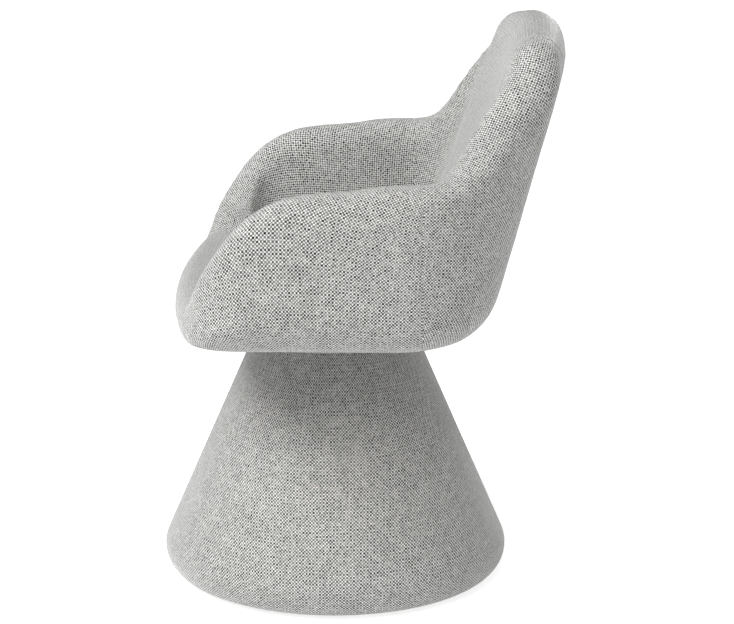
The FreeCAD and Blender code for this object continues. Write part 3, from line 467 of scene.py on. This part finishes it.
def woven_fabric():
    """Chunky woven upholstery cloth: rows of short pale floats with painted shade in the gaps between them,
    matt and a little hairy.
    """
    look = bpy.context.scene.chair_fabric

    # The threads wander a little, so that the rows don't look ruled
    material, tree = blank_material("woven_upholstery_cloth")
    flat = add_node(tree, "ShaderNodeUVMap", uv_map="weave")
    wander = add_node(tree, "ShaderNodeTexNoise", {"Vector": flat.outputs["UV"]},
                      {"Scale": 160.0, "Detail": 2.0}, noise_dimensions="2D")
    centred = add_node(tree, "ShaderNodeVectorMath", {0: wander.outputs["Color"]}, {1: (0.5, 0.5, 0.5)},
                       operation="SUBTRACT")
    shifted = add_node(tree, "ShaderNodeVectorMath", {0: centred.outputs["Vector"], 2: flat.outputs["UV"]},
                       {1: (1.8 * MM, 1.4 * MM, 0)}, operation="MULTIPLY_ADD")
    thread = add_node(tree, "ShaderNodeVectorMath", {0: shifted.outputs["Vector"]},
                      {1: (1 / look.thread_width, 1 / look.row_height, 1)}, operation="MULTIPLY")

    # Two crossed waves leave a hollow at every second crossing of the threads, like a checkerboard
    turned = add_node(tree, "ShaderNodeVectorMath", {0: thread.outputs["Vector"]},
                      {1: (math.pi, math.pi, 0)}, operation="MULTIPLY")
    waves = add_node(tree, "ShaderNodeVectorMath", {0: turned.outputs["Vector"]}, operation="COSINE")
    split = add_node(tree, "ShaderNodeSeparateXYZ", {"Vector": waves.outputs["Vector"]})
    across = add_node(tree, "ShaderNodeMath", {0: split.outputs["X"]}, {1: look.unevenness},
                      operation="ADD")
    along = add_node(tree, "ShaderNodeMath", {0: split.outputs["Y"]}, {1: look.unevenness},
                     operation="ADD")
    hollow = add_node(tree, "ShaderNodeMath", {0: across.outputs["Value"], 1: along.outputs["Value"]},
                      operation="MULTIPLY")

    # Each crossing has its own luck, which sets how dark the painted shade in its gap is, and so has each
    # longer run of yarn
    nearest = add_node(tree, "ShaderNodeVectorMath", {0: thread.outputs["Vector"]}, {1: (0.5, 0.5, 0)},
                       operation="ADD")
    crossing = add_node(tree, "ShaderNodeVectorMath", {0: nearest.outputs["Vector"]}, operation="FLOOR")
    chance = add_node(tree, "ShaderNodeTexWhiteNoise", {"Vector": crossing.outputs["Vector"]},
                      noise_dimensions="2D")
    slub = None
    for run in ((1.0, 1.0 / look.slub_length, 0), (1.0 / look.slub_length, 1.0, 0)):
        stretched = add_node(tree, "ShaderNodeVectorMath", {0: nearest.outputs["Vector"]}, {1: run},
                             operation="MULTIPLY")
        patch_of_threads = add_node(tree, "ShaderNodeVectorMath", {0: stretched.outputs["Vector"]},
                                    operation="FLOOR")
        luck = add_node(tree, "ShaderNodeTexWhiteNoise", {"Vector": patch_of_threads.outputs["Vector"]},
                        noise_dimensions="2D")
        slub = luck if slub is None else add_node(
            tree, "ShaderNodeMath", {0: slub.outputs["Value"], 1: luck.outputs["Value"]}, operation="ADD")
    fibre = add_node(tree, "ShaderNodeTexNoise", {"Vector": flat.outputs["UV"]},
                     {"Scale": 700.0, "Detail": 2.0}, noise_dimensions="2D")
    cloud = add_node(tree, "ShaderNodeTexNoise", {"Vector": flat.outputs["UV"]},
                     {"Scale": 24.0, "Detail": 2.0}, noise_dimensions="2D")

    # Colour: painted shade in the gaps between the threads, with small changes of tone from crossing to
    # crossing and patch to patch
    painted_shade_mask = add_node(tree, "ShaderNodeMapRange", {"Value": hollow.outputs["Value"]},
                   {"From Min": -0.38, "From Max": 0.12, "To Min": 0.0, "To Max": 1.0},
                   interpolation_type="SMOOTHSTEP")
    mixed_luck = add_node(tree, "ShaderNodeMath", {0: slub.outputs["Value"], 2: chance.outputs["Value"]},
                          {1: 0.25}, operation="MULTIPLY_ADD")
    painted_shade_depth = add_node(tree, "ShaderNodeMapRange", {"Value": mixed_luck.outputs["Value"]},
                        {"From Min": 0.0, "From Max": 1.5, "To Min": 0.6, "To Max": 1.05})
    painted_shade_amount = add_node(tree, "ShaderNodeMath", {0: painted_shade_mask.outputs["Result"], 1: painted_shade_depth.outputs["Result"]},
                     operation="MULTIPLY")
    # The pale thread is mixed towards the painted shade colour where the gaps lie
    threads_and_painted_shade = add_node(tree, "ShaderNodeMix", {"Factor": painted_shade_amount.outputs["Value"]},
                            {"A": linear(look.light_thread), "B": linear(look.gap_painted_shade)}, data_type="RGBA")
    tone = add_node(tree, "ShaderNodeMapRange", {"Value": chance.outputs["Value"]},
                    {"From Min": 0.0, "From Max": 1.0, "To Min": 1.06, "To Max": 0.88})
    patch = add_node(tree, "ShaderNodeMapRange", {"Value": cloud.outputs["Fac"]},
                     {"From Min": 0.3, "From Max": 0.7, "To Min": 0.95, "To Max": 1.03})
    shade = add_node(tree, "ShaderNodeMath", {0: tone.outputs["Result"], 1: patch.outputs["Result"]},
                     operation="MULTIPLY")
    colour = add_node(tree, "ShaderNodeVectorMath",
                      {0: threads_and_painted_shade.outputs["Result"], 3: shade.outputs["Value"]}, operation="SCALE")

    # Relief: the threads stand up between the gaps, with fine fibres on them
    raised = add_node(tree, "ShaderNodeMath", {0: hollow.outputs["Value"]}, {1: -0.5, 2: 0.5},
                      operation="MULTIPLY_ADD")
    height = add_node(tree, "ShaderNodeMath", {0: fibre.outputs["Fac"], 2: raised.outputs["Value"]},
                      {1: 0.3}, operation="MULTIPLY_ADD")
    bump = add_node(tree, "ShaderNodeBump", {"Height": height.outputs["Value"]},
                    {"Strength": 1.0, "Distance": 0.45 * MM})
    surface = add_node(tree, "ShaderNodeBsdfPrincipled",
                       {"Base Color": colour.outputs["Vector"], "Normal": bump.outputs["Normal"]},
                       {"Roughness": 0.95, "Specular IOR Level": 0.2, "Sheen Weight": 1.0,
                        "Sheen Roughness": 0.35})
    finish_material(tree, surface)
    return material


def speckled(name, light, dark, scale, roughness, metallic=0.0, stretch=(1, 1, 1), relief=0.05 * MM):
    """A finish whose colour wavers between two tones, with a fine relief of the same pattern."""
    material, tree = blank_material(name)
    place = add_node(tree, "ShaderNodeTexCoord")
    turned = add_node(tree, "ShaderNodeMapping", {"Vector": place.outputs["Object"]}, {"Scale": stretch})
    pattern = add_node(tree, "ShaderNodeTexNoise", {"Vector": turned.outputs["Vector"]},
                       {"Scale": scale, "Detail": 5.0})
    colour = add_node(tree, "ShaderNodeMix", {"Factor": pattern.outputs["Fac"]},
                      {"A": linear(dark), "B": linear(light)}, data_type="RGBA")
    bump = add_node(tree, "ShaderNodeBump", {"Height": pattern.outputs["Fac"]},
                    {"Strength": 0.6, "Distance": relief})
    surface = add_node(tree, "ShaderNodeBsdfPrincipled",
                       {"Base Color": colour.outputs["Result"], "Normal": bump.outputs["Normal"]},
                       {"Roughness": roughness, "Metallic": metallic})
    finish_material(tree, surface)
    return material


# Pieces

class CHAIR_OT_upholster_tub(bpy.types.Operator):
    """Pads and covers the arms, the back and the front roll in one drawn-over cloth"""

    bl_idname = "chair.upholster_tub"
    bl_label = "Upholster the tub"

    def execute(self, context):
        sizes = context.scene.chair_upholstery
        tub = copied([*TUB_FOAMS, "tub_shell"], "tub_upholstery")
        skinned(tub, sizes.grain, COVER_DEPTH)
        puffed(tub, sizes.pressure, sizes.swell, HELD_BELOW_TUB)
        shape = reshape(tub)
        side = Vector((0, SIDE_SEAM_Y, 0))
        rears = []
        for way in (1, -1):
            cut_cloth(shape, side, Vector((0, 1, 0)), lambda spot, way=way:
                      abs(spot.y - SIDE_SEAM_Y) < SEAM_REACH and spot.x * way > SEAM_REACH)
            front = Vector((way * FRONT_SEAM_X, 0, 0))
            cut_cloth(shape, front, Vector((1, 0, 0)), lambda spot, front=front:
                      abs(spot.x - front.x) < SEAM_REACH and spot.y < -SIDE_SEAM_Y)
            rear = Vector((way * REAR_SEAM[0], REAR_SEAM[1], 0))
            across = Vector((way * math.cos(REAR_SEAM_TURN), -math.sin(REAR_SEAM_TURN), 0))
            cut_cloth(shape, rear, across, lambda spot, rear=rear, across=across:
                      abs((spot - rear).dot(across)) < SEAM_REACH and spot.y > SIDE_SEAM_Y)
            rears.append((rear, across))
        cut_cloth(shape, Vector((0, 0, HEM_LEVEL)), Vector((0, 0, 1)),
                  lambda spot: spot.z < HEM_LEVEL + SEAM_REACH)
        return_shape(shape, tub)
        lay_flat(tub)
        divided(tub)
        shape = reshape(tub)
        for way, (rear, across) in zip((1, -1), rears):
            drawn_in(shape, side, Vector((0, 1, 0)), sizes.seam_width,
                     sizes.seam_depth * SIDE_SEAM_DEPTH_SHARE, lambda face, way=way:
                     face.calc_center_median().x * way > SIDE_STARTS_X
                     and face.normal.x * way > LEAST_OUTWARD)
            drawn_in(shape, rear, across, sizes.seam_width, sizes.seam_depth, lambda face:
                     face.calc_center_median().y > BACK_STARTS_Y and face.normal.y > LEAST_OUTWARD)
        return_shape(shape, tub)
        shade_smooth(tub)
        dress(tub, woven_fabric())
        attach(tub, "seat")
        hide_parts(*TUB_FOAMS, *TUB_COVERS)
        return {"FINISHED"}


class CHAIR_OT_upholster_cushion(bpy.types.Operator):
    """Pads and covers the loose-looking seat cushion"""

    bl_idname = "chair.upholster_cushion"
    bl_label = "Upholster the seat cushion"

    def execute(self, context):
        sizes = context.scene.chair_upholstery
        cushion = copied(["seat_foam"], "seat_cushion")
        skinned(cushion, sizes.grain * CUSHION_GRAIN_SHARE, COVER_DEPTH)
        puffed(cushion, sizes.pressure, sizes.swell, HELD_BELOW_CUSHION)
        spread(cushion, sizes.cushion_spread)
        divided(cushion)

        def place_on_cloth(vertex, face):
            if abs(face.normal.z) > LEVEL_FACE:
                return vertex.co.x, vertex.co.y
            along = vertex.co.x if abs(face.normal.y) > abs(face.normal.x) else vertex.co.y
            return along, vertex.co.z

        lay_weave(cushion, place_on_cloth)
        shade_smooth(cushion)
        dress(cushion, woven_fabric())
        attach(cushion, "seat")
        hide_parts("seat_foam", "seat_cover")
        return {"FINISHED"}


class CHAIR_OT_upholster_plinth(bpy.types.Operator):
    """Covers the cone of the plinth and its big rounded bottom edge"""

    bl_idname = "chair.upholster_plinth"
    bl_label = "Upholster the plinth"

    def execute(self, context):
        sizes = context.scene.chair_upholstery
        shape = bmesh.new()
        side_on = (0, -1, 0)
        roll_foot = shape.verts.new((ROLL_CENTRE[0], 0, ROLL_CENTRE[1] - ROLL_RADIUS))
        hem = shape.verts.new((HEM_RADIUS, 0, ROLL_CENTRE[1] - ROLL_RADIUS))
        shape.edges.new((hem, roll_foot))
        roll = bmesh.ops.spin(shape, geom=[roll_foot], cent=(ROLL_CENTRE[0], 0, ROLL_CENTRE[1]),
                              axis=side_on, angle=math.pi / 2 + CONE_LEAN, steps=ROLL_STEPS)
        roll_head = next(item for item in roll["geom_last"] if isinstance(item, bmesh.types.BMVert))
        neck_foot = shape.verts.new((NECK_CENTRE[0] + NECK_EDGE * math.cos(CONE_LEAN), 0,
                                     NECK_CENTRE[1] + NECK_EDGE * math.sin(CONE_LEAN)))
        cone = shape.edges.new((roll_head, neck_foot))
        neck = bmesh.ops.spin(shape, geom=[neck_foot], cent=(NECK_CENTRE[0], 0, NECK_CENTRE[1]),
                              axis=side_on, angle=math.pi / 2 - CONE_LEAN, steps=NECK_STEPS)
        neck_head = next(item for item in neck["geom_last"] if isinstance(item, bmesh.types.BMVert))
        neck_hem = shape.verts.new((NECK_HEM, 0, neck_head.co.z))
        shape.edges.new((neck_head, neck_hem))
        bmesh.ops.subdivide_edges(shape, edges=[cone], cuts=CONE_CUTS)
        bmesh.ops.spin(shape, geom=[*shape.verts, *shape.edges], cent=(0, 0, 0), axis=(0, 0, 1),
                       angle=2 * math.pi, steps=ROUND_STEPS, use_merge=True)
        bmesh.ops.remove_doubles(shape, verts=shape.verts, dist=MERGE_DISTANCE)
        bmesh.ops.recalc_face_normals(shape, faces=shape.faces)
        shape.normal_update()
        outer = max(shape.faces, key=lambda face: Vector(face.calc_center_median()).xy.length)
        if outer.normal.xy.dot(outer.calc_center_median().xy) < 0:
            bmesh.ops.reverse_faces(shape, faces=shape.faces)
        plinth = piece_from(shape, "plinth_upholstery")
        walled = plinth.modifiers.new("cloth thickness", "SOLIDIFY")
        walled.thickness = COVER_THICKNESS
        walled.offset = -1
        settle(plinth)
        shape = reshape(plinth)
        drawn_in(shape, Vector((0, 0, 0)), Vector((1, 0, 0)), sizes.seam_width, sizes.seam_depth,
                 lambda face: face.calc_center_median().y > PLINTH_REAR_STARTS_Y)
        return_shape(shape, plinth)

        def place_on_cloth(vertex, face):
            """The cone laid out flat, with the threads level at the side."""
            slant = (vertex.co.z + ROWS_START_BELOW) / math.cos(CONE_LEAN)
            clear_of_seam = vertex.co.y < 0 or abs(vertex.co.x) > SEAM_ZONE
            sideways = vertex.co.x if clear_of_seam else abs(vertex.co.x)
            half = 1 if face.calc_center_median().x > 0 else -1
            turn = math.atan2(vertex.co.y, half * sideways)
            return half * turn * max(vertex.co.xy.length, LEAST_RADIUS_LAID_OUT), slant

        lay_weave(plinth, place_on_cloth)
        shade_smooth(plinth)
        dress(plinth, woven_fabric())
        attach(plinth, "base")
        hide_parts(*PLINTH_PADDING)
        return {"FINISHED"}


class CHAIR_OT_finish_frame(bpy.types.Operator):
    """Gives the hidden boards, plates, bolts and cloths their finishes"""

    bl_idname = "chair.finish_frame"
    bl_label = "Finish the frame"

    def execute(self, context):
        # Pale ochre board with a long soft grain
        wood = speckled("birch_plywood", "d8bd92", "b9986a", 40.0, 0.6, stretch=(1, 6, 1))
        # Cool bright metal with a faint cloudiness
        steel = speckled("zinc_plated_steel", "c4c6c9", "9a9da1", 300.0, 0.35, metallic=1.0,
                         relief=0.02 * MM)
        # Dark rough casting
        iron = speckled("cast_iron_ballast", "4b4a49", "2f2e2d", 400.0, 0.7, metallic=0.6,
                        relief=0.3 * MM)
        # Near-black shell with a soft shine
        plastic = speckled("moulded_black_plastic", "3a3b3d", "2b2c2e", 700.0, 0.5)
        # Flat black, without shine
        rubber = speckled("black_rubber", "2a2a2a", "191919", 500.0, 0.85)
        # Dull black felt-like cloth, seen from below
        cloth = speckled("black_spunbond_cloth", "3c3c3d", "1f1f20", 1200.0, 0.95, relief=0.2 * MM)
        # The foam and fabric solids never show, because the upholstery replaces them
        finishes = {"wood": wood, "steel": steel, "iron": iron, "plastic": plastic, "rubber": rubber,
                    "cloth": cloth, "foam": plastic, "fabric": woven_fabric()}
        for node in NODES.values():
            for holder in node.material_slots:
                base = holder.material.name.split(".")[0]
                holder.link = "OBJECT"
                holder.material = finishes[base]
        return {"FINISHED"}


class CHAIR_OT_set_studio(bpy.types.Operator):
    """Sets the pale floor, the soft lamps, the white backdrop and the camera"""

    bl_idname = "chair.set_studio"
    bl_label = "Set the studio"

    def execute(self, context):
        look = context.scene.chair_studio
        scene = context.scene
        scene.view_settings.view_transform = "Standard"

        shape = bmesh.new()
        bmesh.ops.create_grid(shape, x_segments=1, y_segments=1, size=FLOOR_HALF_WIDTH)
        floor = piece_from(shape, "studio_floor")
        # Matt white that melts into the backdrop and lights the chair a little from below
        material, tree = blank_material("pale_studio_floor")
        matt = add_node(tree, "ShaderNodeBsdfDiffuse", None, {"Color": linear("f4f4f4")})
        path = add_node(tree, "ShaderNodeLightPath")
        shine = add_node(tree, "ShaderNodeMath", {0: path.outputs["Is Camera Ray"]},
                         {1: FLOOR_BRIGHTNESS - look.floor_glow, 2: look.floor_glow},
                         operation="MULTIPLY_ADD")
        glow = add_node(tree, "ShaderNodeEmission", {"Strength": shine.outputs["Value"]},
                        {"Color": linear("ffffff")})
        lit = add_node(tree, "ShaderNodeAddShader", {0: matt.outputs["BSDF"], 1: glow.outputs["Emission"]})
        add_node(tree, "ShaderNodeOutputMaterial", {"Surface": lit.outputs["Shader"]})
        dress(floor, material)

        world = bpy.data.worlds.new("studio_light")
        scene.world = world
        world.use_nodes = True
        tree = world.node_tree
        tree.nodes.clear()
        path = add_node(tree, "ShaderNodeLightPath")
        shiny = add_node(tree, "ShaderNodeMath", {0: path.outputs["Is Camera Ray"],
                                                  1: path.outputs["Is Glossy Ray"]},
                         operation="MAXIMUM")
        clear = add_node(tree, "ShaderNodeMath", {0: shiny.outputs["Value"],
                                                  1: path.outputs["Is Transmission Ray"]},
                         operation="MAXIMUM")
        room = add_node(tree, "ShaderNodeBackground", None, {"Color": linear("ffffff"),
                                                             "Strength": look.daylight})
        backdrop = add_node(tree, "ShaderNodeBackground", None, {"Color": linear("ffffff"),
                                                                 "Strength": 1.0})
        mixed = add_node(tree, "ShaderNodeMixShader", {0: clear.outputs["Value"],
                                                       1: room.outputs["Background"],
                                                       2: backdrop.outputs["Background"]})
        add_node(tree, "ShaderNodeOutputWorld", {"Surface": mixed.outputs["Shader"]})

        for name, place, size, power in (
                ("key_lamp", KEY_LAMP_PLACE, KEY_LAMP_SIZE, look.key_power),
                ("fill_lamp", FILL_LAMP_PLACE, FILL_LAMP_SIZE, look.fill_power)):
            lamp = bpy.data.lights.new(name, "AREA")
            lamp.energy = power
            lamp.size = size
            holder = bpy.data.objects.new(name, lamp)
            scene.collection.objects.link(holder)
            holder.location = place
            holder.rotation_euler = (AIM_POINT - place).to_track_quat("-Z", "Y").to_euler()

        view = bpy.data.cameras.new("photo_camera")
        view.sensor_width = 36
        view.lens = FOCAL_PIXELS * view.sensor_width / PHOTO_WIDTH
        camera = bpy.data.objects.new("photo_camera", view)
        scene.collection.objects.link(camera)
        outward = Vector((math.cos(EYE_RISE) * math.cos(EYE_TURN),
                          -math.cos(EYE_RISE) * math.sin(EYE_TURN),
                          math.sin(EYE_RISE)))
        camera.location = AIM_POINT + EYE_DISTANCE * outward
        aim = (AIM_POINT - camera.location).to_track_quat("-Z", "Y")
        right = math.atan((PHOTO_WIDTH / 2 - AIM_PIXEL[0]) / FOCAL_PIXELS)
        down = math.atan((PHOTO_HEIGHT / 2 - AIM_PIXEL[1]) / FOCAL_PIXELS)
        aim = aim @ Quaternion((0, 1, 0), -right) @ Quaternion((1, 0, 0), -down)
        camera.rotation_euler = aim.to_euler()
        scene.camera = camera
        return {"FINISHED"}


class CHAIR_PT_panel(bpy.types.Panel):
    """Lists the steps and the sizes of the chair's upholstery"""

    bl_idname = "CHAIR_PT_panel"
    bl_label = "Tub chair"
    bl_space_type = "VIEW_3D"
    bl_region_type = "UI"
    bl_category = "Tub chair"

    def draw(self, context):
        for step in STEPS:
            self.layout.operator(step.bl_idname)
        scene = context.scene
        for group in (scene.chair_upholstery, scene.chair_fabric, scene.chair_studio):
            for name in group.bl_rna.properties.keys():
                if name not in ("rna_type", "name"):
                    self.layout.prop(group, name)


STEPS = (CHAIR_OT_upholster_tub, CHAIR_OT_upholster_cushion, CHAIR_OT_upholster_plinth,
         CHAIR_OT_finish_frame, CHAIR_OT_set_studio)
CLASSES = (UpholsterySizes, FabricLook, StudioLook, *STEPS, CHAIR_PT_panel)


def register():
    for item in CLASSES:
        bpy.utils.register_class(item)
    bpy.types.Scene.chair_upholstery = bpy.props.PointerProperty(type=UpholsterySizes)
    bpy.types.Scene.chair_fabric = bpy.props.PointerProperty(type=FabricLook)
    bpy.types.Scene.chair_studio = bpy.props.PointerProperty(type=StudioLook)


def unregister():
    del bpy.types.Scene.chair_studio
    del bpy.types.Scene.chair_fabric
    del bpy.types.Scene.chair_upholstery
    for item in reversed(CLASSES):
        bpy.utils.unregister_class(item)


def main():
    register()
    bpy.ops.chair.upholster_tub()
    bpy.ops.chair.upholster_cushion()
    bpy.ops.chair.upholster_plinth()
    bpy.ops.chair.finish_frame()
    bpy.ops.chair.set_studio()


if __name__ == "__main__":
    main()
